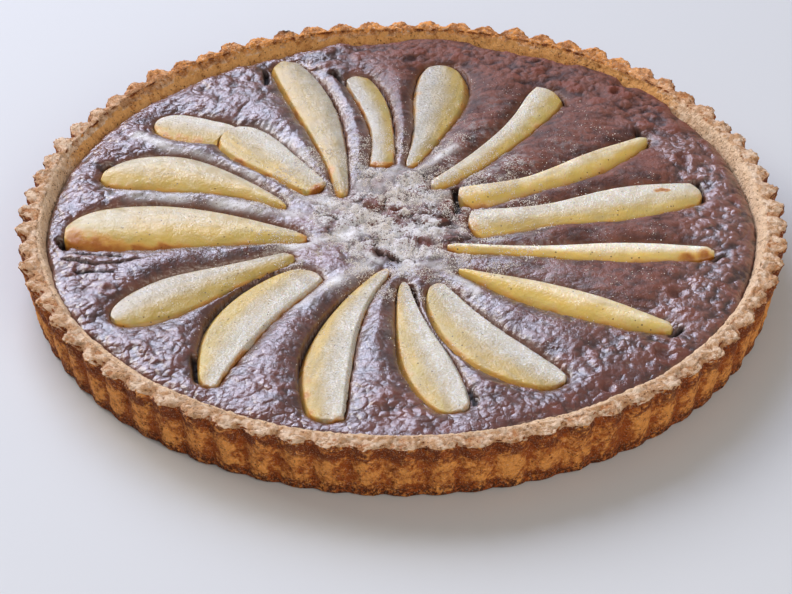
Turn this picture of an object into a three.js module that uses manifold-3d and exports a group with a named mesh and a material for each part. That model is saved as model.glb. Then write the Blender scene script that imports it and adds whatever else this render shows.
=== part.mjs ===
// Chocolate and pear tart: a fluted shortcrust case, a baked chocolate filling that has puffed
// up round the fruit, and seventeen peeled pear slices laid on it like the spokes of a wheel.
// Millimetres, +Z up. The origin is the centre of the case's flat underside.

import * as THREE from "three";
import Module from "manifold-3d";
import { mergeVertices } from "three/addons/utils/BufferGeometryUtils.js";

const wasm = await Module();
wasm.setup();

// ---------------------------------------------------------------- driving dimensions

const GAP = 0.35; // clearance between two solids that touch in the real tart

// The case is baked in a loose-bottomed fluted tin, so its wall leans out a little.
const CASE = {
  flutes: 72,
  stepsPerFlute: 4,
  innerSteps: 2, // the inner face is smooth, so it needs fewer corners
  fluteDepth: 2.8, // at the brim
  footFluteDepth: 1.1, // the dough fills the tin's flutes less well at the foot
  footRadius: 146, // over the flute tips, on the table
  brimRadius: 150, // over the flute tips, at the top of the wall
  brimHeight: 24.1,
  crestRadius: 146.6, // the highest line of the rim
  crestHeight: 25,
  lipRadius: 142.4, // where the rim turns down to the filling
  lipHeight: 23.4,
  kneeRadius: 139, // where the filling meets the wall
  kneeHeight: 18.8,
  kneeFall: 1.4, // that line is lower at the back and higher at the front
  floorRadius: 136,
  floorHeight: 5,
};

// Hand-pressed dough: the rim rises, sinks and wanders, and the wall is thicker on one side.
const RIM_WANDER = { height: 0.45, lip: 0.6, knee: 0.5, waves: [5, 11, 17] };
const THICK_SIDE = { direction: 125, spread: 30, extra: 2.4 }; // degrees, degrees, mm

// Heights of the filling's puffed surface from the middle out to the wall: [radius, height].
const FILLING_PROFILE = [
  [0, 22.4],
  [30, 22.0],
  [60, 22.6],
  [100, 23.2],
  [120, 23.0],
  [128, 23.3],
  [133, 21.8],
];
const FILLING = {
  rings: [12, 24, 35, 45, 55, 66, 77, 88, 99, 109, 118, 125, 129, 133],
  sectors: 88,
  innerSectors: 22,
  trough: 3.6, // how far the surface dips beside a slice
  troughReach: 4.2,
  lump: 0.5, // height of the baked-in lumps, and their lengths along x, y and slantwise
  lumpLengths: [20, 23, 33],
};

// Pear slices, clockwise from nine o'clock. inner and outer are the two ends [x, y]; bow is
// how far the middle bends to the left of the line between them; widths are at 0, 1/3, 2/3
// and 1 of the length. belly is the side of the peeled flank: 1 left, -1 right. top is the
// height of the middle line, dome how far the upper face bulges over it, and lean the fall
// of that face towards the belly in degrees. depth is the thickness. ends says how the inner
// and the outer end are cut: 2 is round, and 4 is nearly square.
const SLICES = [
  { inner: [-37, -16], outer: [-131, -11], bow: -4.5, widths: [7, 23, 34, 27],
    belly: 1, top: 20.6, dome: 3.6, lean: 3, depth: 12, ends: [2, 2.5] },
  { inner: [-46, 6], outer: [-120, 30], bow: -9, widths: [5, 15, 28, 23],
    belly: 1, top: 20.8, dome: 3.0, lean: 5, depth: 11, ends: [2, 2.2] },
  { inner: [-68, 58], outer: [-102, 70], bow: 1, widths: [18, 19, 20, 15],
    belly: 1, top: 20.8, dome: 1.2, lean: 8, depth: 10, ends: [2.4, 2.4] },
  { inner: [-33.5, 18.5], outer: [-71.5, 61.5], bow: 0, widths: [12, 16, 23, 21],
    belly: 1, top: 22.2, dome: 0.5, lean: 4, depth: 11, ends: [3.6, 2.6] },
  { inner: [-23.5, 14], outer: [-51, 118], bow: -5, widths: [5, 12, 19, 15],
    belly: 1, top: 21.2, dome: 2.4, lean: 3, depth: 11, ends: [2, 2.4] },
  { inner: [-8, 36], outer: [-19, 106], bow: -5, widths: [11, 9.5, 13, 13],
    belly: -1, top: 21.4, dome: 0.6, lean: 0, depth: 10, ends: [3.8, 2.8] },
  { inner: [3.6, 36], outer: [18.5, 115], bow: -4, widths: [5, 13.5, 24, 20],
    belly: -1, top: 21.2, dome: 0.8, lean: 0, depth: 10, ends: [2, 2.6] },
  { inner: [13, 20], outer: [64, 92], bow: -5, widths: [6, 9, 12, 18],
    belly: -1, top: 22.0, dome: 0.8, lean: 12, depth: 11, ends: [2, 3] },
  { inner: [24, 10], outer: [101, 54], bow: -6.5, widths: [14, 9, 14, 5],
    belly: -1, top: 21.8, dome: 1.6, lean: 20, depth: 11, ends: [3.6, 2.8] },
  { inner: [27, -8], outer: [119, 14], bow: -1, widths: [19, 13, 23, 14],
    belly: -1, top: 21.8, dome: 1.0, lean: 10, depth: 12, ends: [3.6, 3.2] },
  { inner: [18, -22.5], outer: [120, -28], bow: -2, widths: [4, 5, 12, 7],
    belly: -1, top: 21.6, dome: 1.4, lean: 14, depth: 10, ends: [2, 2] },
  { inner: [22, -39], outer: [99, -77], bow: -2, widths: [3, 13, 15, 6],
    belly: -1, top: 21.6, dome: 2.4, lean: 16, depth: 11, ends: [2, 2] },
  { inner: [12, -49], outer: [56, -109], bow: -8, widths: [11, 20, 23, 15],
    belly: -1, top: 22.0, dome: 0.6, lean: 4, depth: 12, ends: [2.2, 2.4] },
  { inner: [0.5, -47], outer: [18.5, -124.5], bow: -4, widths: [4, 12, 20, 15],
    belly: -1, top: 21.8, dome: 0.6, lean: 8, depth: 12, ends: [2, 2.5] },
  { inner: [-6, -38], outer: [-27, -129], bow: -9.5, widths: [5, 13, 20, 15],
    belly: -1, top: 21.8, dome: 0.8, lean: 10, depth: 12, ends: [2.4, 3.2] },
  { inner: [-35, -39], outer: [-70, -109], bow: -9, widths: [18, 23, 20, 8],
    belly: -1, top: 21.6, dome: 0.6, lean: 2, depth: 11, ends: [3.4, 2.2] },
  { inner: [-42, -28.5], outer: [-107, -69], bow: -1.5, widths: [8, 15, 26, 17],
    belly: 1, top: 21.2, dome: 1.6, lean: 3, depth: 11, ends: [2.8, 2.4] },
];
const SLICE_STEPS = 10;
const BLUNT_END = 0.35; // width of a slice's very end, as a share of the width beside it
const THIN_NECK = 0.55; // thickness of a slice with no width left, as a share of its depth
const UNDER_SLICE = 2; // the third slice is tucked under the edge of the fourth
const OVER_SLICE = 3;

// Section of a slice at its full width, [across, below the top face as a share of the depth],
// from the thin cored edge at -1 over the top to the peeled belly at 1 and back below.
const SLICE_SECTION = [
  [-1, 0.16],
  [-0.86, 0],
  [-0.3, 0],
  [0.3, 0],
  [0.78, 0.03],
  [1, 0.28],
  [0.94, 0.6],
  [0.6, 0.9],
  [-0.1, 1],
  [-0.8, 0.55],
];
const TOP_POINTS = [1, 2, 3, 4]; // those of the section that lie on the upper face
const HEADROOM = 30; // the filling stays open straight up over each slice

const LOOKS = {
  crust: { color: 0xc68b4c, roughness: 0.85, metalness: 0 },
  filling: { color: 0x4e2f2b, roughness: 0.35, metalness: 0 },
  pear: { color: 0xe3d296, roughness: 0.45, metalness: 0 },
};

// ---------------------------------------------------------------- small helpers

const { lerp, clamp, degToRad, radToDeg } = THREE.MathUtils;
const MERGE_DISTANCE = 1e-5;

function polar(radius, angle, height) {
  return [radius * Math.cos(angle), radius * Math.sin(angle), height];
}

// A level ring about the vertical axis: [radius, height] at each of its corners.
function ringOf(corners, pointAt) {
  return Array.from({ length: corners }, (_, i) => {
    const angle = (i / corners) * 2 * Math.PI;
    const [radius, height] = pointAt(angle);
    return polar(radius, angle, height);
  });
}

// Straight-line reading of a list of [position, value] pairs.
function readProfile(pairs, at) {
  const last = pairs.length - 1;
  const next = pairs.findIndex(([position]) => position > at);
  if (next < 1) return pairs[next === 0 ? 0 : last][1];
  const [x0, y0] = pairs[next - 1];
  const [x1, y1] = pairs[next];
  return lerp(y0, y1, (at - x0) / (x1 - x0));
}

// The band of triangles between two closed rings of points. One ring may have a whole
// multiple of the other's corners.
function bandTriangles(lower, upper, lowerStart, upperStart) {
  const corners = Math.max(lower.length, upper.length);
  const lowerShare = corners / lower.length;
  const upperShare = corners / upper.length;
  const triangles = [];
  for (let i = 0; i < corners; i += 1) {
    const a = lowerStart + (Math.floor(i / lowerShare) % lower.length);
    const b = lowerStart + (Math.floor((i + 1) / lowerShare) % lower.length);
    const c = upperStart + (Math.floor((i + 1) / upperShare) % upper.length);
    const d = upperStart + (Math.floor(i / upperShare) % upper.length);
    if (a !== b) triangles.push([a, b, c]);
    if (c !== d) triangles.push([a, c, d]);
  }
  return triangles;
}

// A closed solid from rings stacked from one end to the other. They run anticlockwise as seen
// from beyond the last one looking back to the first. Each end is closed by a fan about a
// point: the one given, or the ring's own middle.
function solidFromRings(rings, endPoints = []) {
  const points = [];
  const starts = rings.map((ring) => {
    const start = points.length;
    points.push(...ring);
    return start;
  });
  const triangles = [];
  for (let i = 1; i < rings.length; i += 1) {
    triangles.push(...bandTriangles(rings[i - 1], rings[i], starts[i - 1], starts[i]));
  }
  [0, rings.length - 1].forEach((end, which) => {
    const ring = rings[end];
    const hub = endPoints[which] ?? middleOf(ring);
    const hubIndex = points.push(hub) - 1;
    ring.forEach((_, i) => {
      const here = starts[end] + i;
      const next = starts[end] + ((i + 1) % ring.length);
      triangles.push(which === 0 ? [hubIndex, next, here] : [hubIndex, here, next]);
    });
  });
  const geometry = new THREE.BufferGeometry();
  geometry.setAttribute("position", new THREE.Float32BufferAttribute(points.flat(), 3));
  geometry.setIndex(triangles.flat());
  return geometry;
}

function middleOf(ring) {
  return [0, 1, 2].map((axis) => ring.reduce((sum, p) => sum + p[axis], 0) / ring.length);
}

function toManifold(geometry) {
  const merged = mergeVertices(geometry, MERGE_DISTANCE);
  return new wasm.Manifold(new wasm.Mesh({
    numProp: 3,
    vertProperties: new Float32Array(merged.attributes.position.array),
    triVerts: new Uint32Array(merged.index.array),
  }));
}

function fromManifold(solid) {
  const { vertProperties, triVerts } = solid.getMesh();
  const geometry = new THREE.BufferGeometry();
  geometry.setAttribute("position", new THREE.BufferAttribute(vertProperties, 3));
  geometry.setIndex(new THREE.BufferAttribute(triVerts, 1));
  return geometry;
}

// ---------------------------------------------------------------- crust

// Slow unevenness round the case, between -1 and 1. Each phase gives another course.
function wander(angle, phase) {
  const waves = RIM_WANDER.waves.map((count, i) => Math.sin(count * angle + phase * (i + 1)));
  return waves.reduce((sum, wave) => sum + wave) / waves.length;
}

// How far the wall is pressed in from the flute tips: rounded flutes with sharp valleys.
function fluteInset(angle, depth = CASE.fluteDepth) {
  return depth * (1 - Math.abs(Math.cos((CASE.flutes * angle) / 2)));
}

function lipRadius(angle) {
  return CASE.lipRadius + RIM_WANDER.lip * wander(angle, 1);
}

// The line where the filling meets the inner face of the wall.
function kneeRadius(angle) {
  const turned = Math.abs(radToDeg(angle) - THICK_SIDE.direction) / THICK_SIDE.spread;
  const thicker = THICK_SIDE.extra * Math.exp(-(turned ** 2));
  return CASE.kneeRadius + RIM_WANDER.knee * wander(angle, 5) - thicker;
}

function kneeHeight(angle) {
  return CASE.kneeHeight - CASE.kneeFall * Math.sin(angle);
}

function crust() {
  const outerCorners = CASE.flutes * CASE.stepsPerFlute;
  const innerCorners = CASE.flutes * CASE.innerSteps;
  const uneven = (height, angle, phase) => height + RIM_WANDER.height * wander(angle, phase);
  const rings = [
    ringOf(outerCorners, (a) => [
      CASE.footRadius - fluteInset(a, CASE.footFluteDepth), 0]),
    ringOf(outerCorners, (a) => [
      CASE.brimRadius - fluteInset(a), uneven(CASE.brimHeight, a, 2)]),
    ringOf(outerCorners, (a) => [
      CASE.crestRadius - fluteInset(a) / 3, uneven(CASE.crestHeight, a, 3)]),
    ringOf(outerCorners, (a) => [lipRadius(a), uneven(CASE.lipHeight, a, 4)]),
    ringOf(innerCorners, (a) => [kneeRadius(a), kneeHeight(a)]),
    ringOf(innerCorners, () => [CASE.floorRadius, CASE.floorHeight]),
  ];
  return solidFromRings(rings, [[0, 0, 0], [0, 0, CASE.floorHeight]]);
}

// ---------------------------------------------------------------- pear slices

// Stations along a slice, closer together near its two rounded ends. grow makes the slice
// larger by that much all round, for the hollow that it lies in.
function stations(slice, grow = 0) {
  const start = new THREE.Vector2(...slice.inner);
  const along = new THREE.Vector2(...slice.outer).sub(start);
  const length = along.length();
  const left = new THREE.Vector2(-along.y, along.x).normalize();
  const widths = new THREE.SplineCurve(
    slice.widths.map((width, i) => new THREE.Vector2(i / 3, width)));
  const widest = Math.max(...slice.widths);
  return Array.from({ length: SLICE_STEPS + 1 }, (_, i) => {
    const share = (1 - Math.cos((Math.PI * i) / SLICE_STEPS)) / 2;
    const width = widths.getPoint(share).y;
    const endRadius = (share < 0.5 ? slice.widths[0] : slice.widths[3]) / 2;
    const toEnd = Math.min(share, 1 - share) * length;
    const inEnd = 1 - clamp(toEnd / endRadius, 0, 1);
    const squareness = slice.ends[share < 0.5 ? 0 : 1];
    const fullness = Math.max(BLUNT_END, (1 - inEnd ** squareness) ** (1 / squareness));
    const stretched = share + ((2 * share - 1) * grow) / length;
    const bend = slice.bow * 4 * share * (1 - share);
    const middle = start.clone().addScaledVector(along, stretched).addScaledVector(left, bend);
    return {
      middle,
      across: left.clone().multiplyScalar(slice.belly),
      halfWidth: (width / 2) * fullness + grow,
      plumpness: Math.sqrt(fullness) * lerp(THIN_NECK, 1, width / widest),
    };
  });
}

function pearSlice(slice, grow = 0, headroom = 0) {
  const slope = Math.tan(degToRad(slice.lean));
  const rings = stations(slice, grow).map(({ middle, across, halfWidth, plumpness }) => {
    const ring = SLICE_SECTION.map(([side, below], i) => {
      const bulge = slice.dome * plumpness * (1 - side * side);
      const face = slice.top + bulge - slope * halfWidth * side;
      const clear = TOP_POINTS.includes(i) ? headroom : -grow;
      const place = middle.clone().addScaledVector(across, side * halfWidth);
      return [place.x, place.y, face - slice.depth * plumpness * below + clear];
    });
    return slice.belly > 0 ? ring.reverse() : ring;
  });
  return solidFromRings(rings);
}

// The room that a slice takes up in what lies round it, open to the top.
function sliceRoom(slice) {
  return toManifold(pearSlice(slice, GAP, HEADROOM));
}

// ---------------------------------------------------------------- filling

const SLICE_PATHS = SLICES.map((slice) => stations(slice));

// Distance from a point on the surface to the nearest slice's edge.
function clearOfSlices(x, y) {
  const here = new THREE.Vector2(x, y);
  const away = SLICE_PATHS.map((path) => {
    const gaps = path.slice(1).map((end, i) => {
      const start = path[i];
      const run = end.middle.clone().sub(start.middle);
      const share = clamp(here.clone().sub(start.middle).dot(run) / run.lengthSq(), 0, 1);
      const nearest = start.middle.clone().addScaledVector(run, share);
      return nearest.distanceTo(here) - lerp(start.halfWidth, end.halfWidth, share);
    });
    return Math.min(...gaps);
  });
  return Math.max(0, Math.min(...away));
}

function fillingHeight(x, y) {
  const beside = Math.exp(-((clearOfSlices(x, y) / FILLING.troughReach) ** 2));
  const [waveX, waveY, waveSlant] = [x, y, x - y].map(
    (along, i) => Math.sin((2 * Math.PI * along) / FILLING.lumpLengths[i]));
  const lumps = FILLING.lump * (waveX * waveY + waveSlant) * (1 - beside);
  return readProfile(FILLING_PROFILE, Math.hypot(x, y)) - FILLING.trough * beside + lumps;
}

// One ring of the puffed surface. The innermost are short, so they have fewer corners.
function surfaceRing(radius, order) {
  const sectors = Math.min(FILLING.sectors, FILLING.innerSectors * 2 ** order);
  return ringOf(sectors, (angle) => {
    const [x, y] = polar(radius, angle, 0);
    return [radius, fillingHeight(x, y)];
  });
}

function filling() {
  const underside = CASE.floorHeight + GAP;
  const rings = [
    ringOf(FILLING.sectors, () => [CASE.floorRadius - GAP, underside]),
    ringOf(FILLING.sectors, (angle) => [kneeRadius(angle) - GAP, kneeHeight(angle)]),
    ...FILLING.rings.map(surfaceRing).reverse(),
  ];
  const whole = solidFromRings(rings, [[0, 0, underside], [0, 0, fillingHeight(0, 0)]]);
  const hollowed = SLICES.reduce((solid, slice) => solid.subtract(sliceRoom(slice)),
    toManifold(whole));
  return fromManifold(hollowed);
}

// ---------------------------------------------------------------- the tart

function addPiece(group, name, geometry, look) {
  const mesh = new THREE.Mesh(geometry, new THREE.MeshStandardMaterial(look));
  mesh.name = name;
  group.add(mesh);
}

function sliceSolid(slice, index) {
  if (index !== UNDER_SLICE) return pearSlice(slice);
  return fromManifold(toManifold(pearSlice(slice)).subtract(sliceRoom(SLICES[OVER_SLICE])));
}

const tart = new THREE.Group();
addPiece(tart, "crust", crust(), LOOKS.crust);
addPiece(tart, "filling", filling(), LOOKS.filling);
SLICES.forEach((slice, index) => {
  const number = String(index + 1).padStart(2, "0");
  addPiece(tart, `pear_slice_${number}`, sliceSolid(slice, index), LOOKS.pear);
});

export default tart;
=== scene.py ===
# %% [markdown]
# # A chocolate and pear tart
# A fluted shortcrust case holds a puffed baked chocolate filling with seventeen pear slices
# on it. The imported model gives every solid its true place, and this script gives each one the
# surface of the real food. Lengths are worked out in millimetres and stored in metres.

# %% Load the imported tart
import math

import bmesh
import bpy
import numpy as np
from mathutils import Matrix, Vector, noise
from mathutils.bvhtree import BVHTree


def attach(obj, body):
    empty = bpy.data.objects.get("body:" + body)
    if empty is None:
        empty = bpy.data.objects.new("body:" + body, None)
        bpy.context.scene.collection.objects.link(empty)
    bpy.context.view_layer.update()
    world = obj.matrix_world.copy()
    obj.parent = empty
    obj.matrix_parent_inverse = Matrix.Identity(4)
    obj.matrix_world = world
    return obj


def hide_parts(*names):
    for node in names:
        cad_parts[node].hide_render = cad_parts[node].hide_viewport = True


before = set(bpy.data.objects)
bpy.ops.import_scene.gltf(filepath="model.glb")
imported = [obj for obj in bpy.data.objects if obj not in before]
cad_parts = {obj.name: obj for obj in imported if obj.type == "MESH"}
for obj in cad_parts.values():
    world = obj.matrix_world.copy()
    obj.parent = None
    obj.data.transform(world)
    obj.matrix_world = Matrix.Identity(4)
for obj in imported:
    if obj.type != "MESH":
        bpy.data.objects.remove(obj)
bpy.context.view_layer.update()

MM = 0.001

# %% [markdown]
# ## The camera
# A tart is flat, so it is looked at from above one edge: here from a little over 35 degrees,
# with a long lens that keeps the round rim from looking stretched.

# %% Camera
CAMERA_HEIGHT_ANGLE = math.radians(35.808)
CAMERA_ROLL = 0.00443
CAMERA_DISTANCE = 0.97327
CAMERA_ASIDE = 0.002229
CAMERA_BELOW = 0.014952
CAMERA_SENSOR, CAMERA_LENS = 36, 110.77


def place_camera():
    """The camera looks along +Y and down, and is turned a trace about its own line of sight."""
    sine, cosine = math.sin(CAMERA_HEIGHT_ANGLE), math.cos(CAMERA_HEIGHT_ANGLE)
    side, up = Vector((1, 0, 0)), Vector((0, sine, cosine))
    ahead = Vector((0, cosine, -sine))
    camera_side = math.cos(CAMERA_ROLL) * side - math.sin(CAMERA_ROLL) * up
    camera_up = math.sin(CAMERA_ROLL) * side + math.cos(CAMERA_ROLL) * up
    place = -CAMERA_DISTANCE * ahead - CAMERA_ASIDE * camera_side - CAMERA_BELOW * camera_up
    data = bpy.data.cameras.new("camera")
    data.sensor_width, data.lens = CAMERA_SENSOR, CAMERA_LENS
    camera = bpy.data.objects.new("camera", data)
    turn = Matrix((camera_side, camera_up, -ahead)).transposed().to_4x4()
    camera.matrix_world = Matrix.Translation(place) @ turn
    bpy.context.scene.collection.objects.link(camera)
    bpy.context.scene.camera = camera
    return camera


print("camera at", [round(c, 3) for c in place_camera().location])

# %% [markdown]
# ## Light and floor
# The tart stands in soft daylight. A warm window at the left and a bigger, bluer patch of sky
# behind it make the wet chocolate shine and leave the near side of the case in shade. A weak
# lamp in front and a pale surround fill that shade. The floor is plain and pale, so that
# nothing but the tart has colour.

# %% Light and floor
WINDOW_COLOUR = (1.0, 0.97, 0.93)
WINDOW_PLACE, WINDOW_SIZE, WINDOW_POWER = (-1.9, 1.3, 1.3), 1.2, 36.0
SKY_COLOUR = (0.75, 0.81, 1.06)
SKY_PLACE, SKY_SIZE, SKY_POWER = (-1.05, 2.25, 1.9), 2.0, 84.0
FILL_COLOUR = (1.0, 0.93, 0.82)
FILL_PLACE, FILL_SIZE, FILL_POWER = (0.7, -1.3, 1.0), 1.2, 12.5
SURROUND_COLOUR, SURROUND_STRENGTH = (0.93, 0.94, 0.97, 1), 0.30
FLOOR_COLOUR, FLOOR_ROUGHNESS = (0.63, 0.635, 0.635, 1), 0.6


def soft_light(name, place, size, power, colour):
    """A square lamp that faces the middle of the tart."""
    data = bpy.data.lights.new(name, "AREA")
    data.size, data.energy, data.color = size, power, colour
    lamp = bpy.data.objects.new(name, data)
    lamp.location = place
    lamp.rotation_euler = (-Vector(place)).to_track_quat("-Z", "Y").to_euler()
    bpy.context.scene.collection.objects.link(lamp)


soft_light("window", WINDOW_PLACE, WINDOW_SIZE, WINDOW_POWER, WINDOW_COLOUR)
soft_light("sky", SKY_PLACE, SKY_SIZE, SKY_POWER, SKY_COLOUR)
soft_light("room", FILL_PLACE, FILL_SIZE, FILL_POWER, FILL_COLOUR)

surround = bpy.data.worlds.new("surround")
surround.use_nodes = True
glow = surround.node_tree.nodes["Background"]
glow.inputs["Color"].default_value = SURROUND_COLOUR
glow.inputs["Strength"].default_value = SURROUND_STRENGTH
bpy.context.scene.world = surround
bpy.context.scene.view_settings.view_transform = "Standard"

table = bmesh.new()
bmesh.ops.create_grid(table, x_segments=1, y_segments=1, size=4)
floor_mesh = bpy.data.meshes.new("floor")
table.to_mesh(floor_mesh)
table.free()
floor = bpy.data.objects.new("floor", floor_mesh)
bpy.context.scene.collection.objects.link(floor)
paint = bpy.data.materials.new("floor_paint")
paint.use_nodes = True
floor_shader = paint.node_tree.nodes["Principled BSDF"]
floor_shader.inputs["Base Color"].default_value = FLOOR_COLOUR
floor_shader.inputs["Roughness"].default_value = FLOOR_ROUGHNESS
floor_mesh.materials.append(paint)
print("three soft lamps, a pale surround and a floor")

# %% [markdown]
# ## Reading and writing a surface
# Baked food has no exact shape: it has a form, and then lumps, pits and crumbs of a few sizes
# on it. So each piece starts from Blender's own mesh operators, its points are read into an
# array, they are pushed about by measured amounts, and they are written back. How brown, wet
# or sugary each point is goes into a named attribute, which the material reads later.


# %% Helpers for surfaces
def points_of(mesh):
    """All points of a mesh in millimetres, one row each."""
    flat = np.empty(len(mesh.vertices) * 3)
    mesh.vertices.foreach_get("co", flat)
    return flat.reshape(-1, 3) / MM


def set_points(mesh, points):
    mesh.vertices.foreach_set("co", (points * MM).ravel())
    mesh.update()


def normals_of(mesh):
    flat = np.empty(len(mesh.vertices) * 3)
    mesh.vertex_normals.foreach_get("vector", flat)
    return flat.reshape(-1, 3)


def note(mesh, name, values):
    """Stores one number for each point, such as how sugary it is."""
    layer = mesh.attributes.new(name, "FLOAT", "POINT")
    layer.data.foreach_set("value", np.asarray(values, dtype=np.float32))


def ramp(values, low, high):
    """0 below low, 1 above high, and an even curve between them."""
    share = np.clip((values - low) / (high - low), 0, 1)
    return share * share * (3 - 2 * share)


def patch(points, x, y, reach):
    """1 at a place on the tart, falling off to nothing over a few times its reach."""
    return np.exp(-((points[:, 0] - x) ** 2 + (points[:, 1] - y) ** 2) / reach ** 2)


def lumps(points, size, seed, octaves=1):
    """Smooth random lumps between about -1 and 1, each about size millimetres across."""
    shift = Vector((17.3 * seed, -9.1 * seed, 5.7 * seed))
    scaled = points / size
    if octaves == 1:
        return np.array([noise.noise(Vector(p) + shift) for p in scaled])
    return np.array([noise.fractal(Vector(p) + shift, 0.9, 2.1, octaves) for p in scaled])


def cells(points, size, seed):
    """Distances to the nearest two of a scatter of random middles, in cell sizes, and a
    random number between 0 and 1 for the cell that a point lies in."""
    shift = Vector((3.9 * seed, 12.7 * seed, -8.3 * seed))
    nearest = np.empty(len(points))
    second = np.empty(len(points))
    draw = np.empty(len(points))
    for i, p in enumerate(points / size):
        distances, middles = noise.voronoi(Vector(p) + shift)
        nearest[i], second[i] = distances[0], distances[1]
        middle = middles[0]
        draw[i] = (middle.x * 12.9898 + middle.y * 78.233 + middle.z * 37.719) % 1
    return nearest, second, draw


def new_piece(name, mesh, slot, *replaced):
    """Links a finished mesh, lets it ride on the tart and stand for its solid."""
    mesh.shade_smooth()
    piece = bpy.data.objects.new(name, mesh)
    bpy.context.scene.collection.objects.link(piece)
    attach(piece, "root")
    if replaced:
        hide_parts(*replaced)
    print(name, "faces:", len(mesh.polygons), "box mm:",
          points_of(mesh).min(0).round(1), points_of(mesh).max(0).round(1))
    return piece


# %% [markdown]
# ## The case
# The case is shortcrust pressed into a fluted tin. Every flute is a rounded rib, and between
# two ribs is a sharp valley. The rim is cut level with the tin's edge, so it is rough and
# crumbly. A lathe would give the plain wall and a stack of rings would give the flutes, and
# both are needed: one section is spun about the middle in very many steps, and then every
# point is drawn in by the depth of its flute. The case's main sizes are those of its solid.

# %% Sizes of the case
FLUTES = 72
STEPS_PER_FLUTE = 20
FLUTE_DEPTH, FOOT_FLUTE_DEPTH = 2.8, 1.1
FOOT_RADIUS, BRIM_RADIUS, BRIM_HEIGHT = 146, 150, 24.1
CREST_RADIUS, CREST_HEIGHT = 146.6, 24.9
LIP_RADIUS, LIP_HEIGHT = 142.4, 23.4
HIGHEST_TOOTH = 26.0
KNEE_RADIUS, KNEE_HEIGHT, KNEE_FALL = 139, 18.8, 1.4
FLOOR_RADIUS, FLOOR_HEIGHT = 136, 5
THICK_DIRECTION, THICK_SPREAD, THICK_EXTRA = 125, 30, 2.4
GAP = 0.35


def wander(angle, phase):
    """Slow unevenness of hand-pressed dough, the same as the solid's."""
    return sum(np.sin(count * angle + phase * (i + 1))
               for i, count in enumerate((5, 11, 17))) / 3


def knee_radius(angle):
    """Where the filling meets the wall. The wall is thicker on one side."""
    turned = (np.abs(np.degrees(angle % (2 * math.pi)) - THICK_DIRECTION)) / THICK_SPREAD
    return KNEE_RADIUS + 0.5 * wander(angle, 5) - THICK_EXTRA * np.exp(-turned ** 2)


def knee_height(angle):
    return KNEE_HEIGHT - KNEE_FALL * np.sin(angle)


print("flutes:", FLUTES, "each", round(2 * math.pi * BRIM_RADIUS / FLUTES, 1), "mm wide")

# %% Spin the section of the case
# Each row is the radius and height of a corner, and the number of steps on to the next one.
SECTION = [
    (0, 0, 1), (120, 0, 2), (FOOT_RADIUS - 0.8, 0, 1), (FOOT_RADIUS, 0.7, 21),
    (BRIM_RADIUS - 0.2, BRIM_HEIGHT - 1.2, 3), (BRIM_RADIUS, BRIM_HEIGHT, 3),
    (BRIM_RADIUS - 1.1, CREST_HEIGHT - 0.3, 5), (CREST_RADIUS, CREST_HEIGHT, 5),
    (LIP_RADIUS + 1.2, CREST_HEIGHT - 0.3, 3), (LIP_RADIUS, LIP_HEIGHT, 8),
    (KNEE_RADIUS, KNEE_HEIGHT, 3), (FLOOR_RADIUS, FLOOR_HEIGHT, 1), (0, FLOOR_HEIGHT, 0),
]


def spun_case():
    """The section's line of points, spun once round the middle and closed."""
    shell = bmesh.new()
    line = []
    for (radius, height, steps), after in zip(SECTION, SECTION[1:] + SECTION[-1:]):
        for step in range(max(steps, 1)):
            share = step / max(steps, 1)
            line.append(shell.verts.new((
                (radius + (after[0] - radius) * share) * MM, 0,
                (height + (after[1] - height) * share) * MM)))
    edges = [shell.edges.new(pair) for pair in zip(line, line[1:])]
    bmesh.ops.spin(shell, geom=line + edges, cent=(0, 0, 0), axis=(0, 0, 1), dvec=(0, 0, 0),
                   angle=2 * math.pi, steps=FLUTES * STEPS_PER_FLUTE, use_merge=True)
    bmesh.ops.remove_doubles(shell, verts=shell.verts, dist=1e-6)
    bmesh.ops.recalc_face_normals(shell, faces=shell.faces)
    mesh = bpy.data.meshes.new("pastry_case")
    shell.to_mesh(mesh)
    shell.free()
    return mesh


case_mesh = spun_case()
print("case points:", len(case_mesh.vertices), "faces:", len(case_mesh.polygons))

# %% [markdown]
# The spun wall is now drawn into flutes, and the dough's roughness is laid over it. The rim
# wanders up and down, each rib's top stands a little over its own wall like a blunt tooth, and
# crumbs of three sizes break up the surface. Pits are left where a crumb has fallen out.


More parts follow.
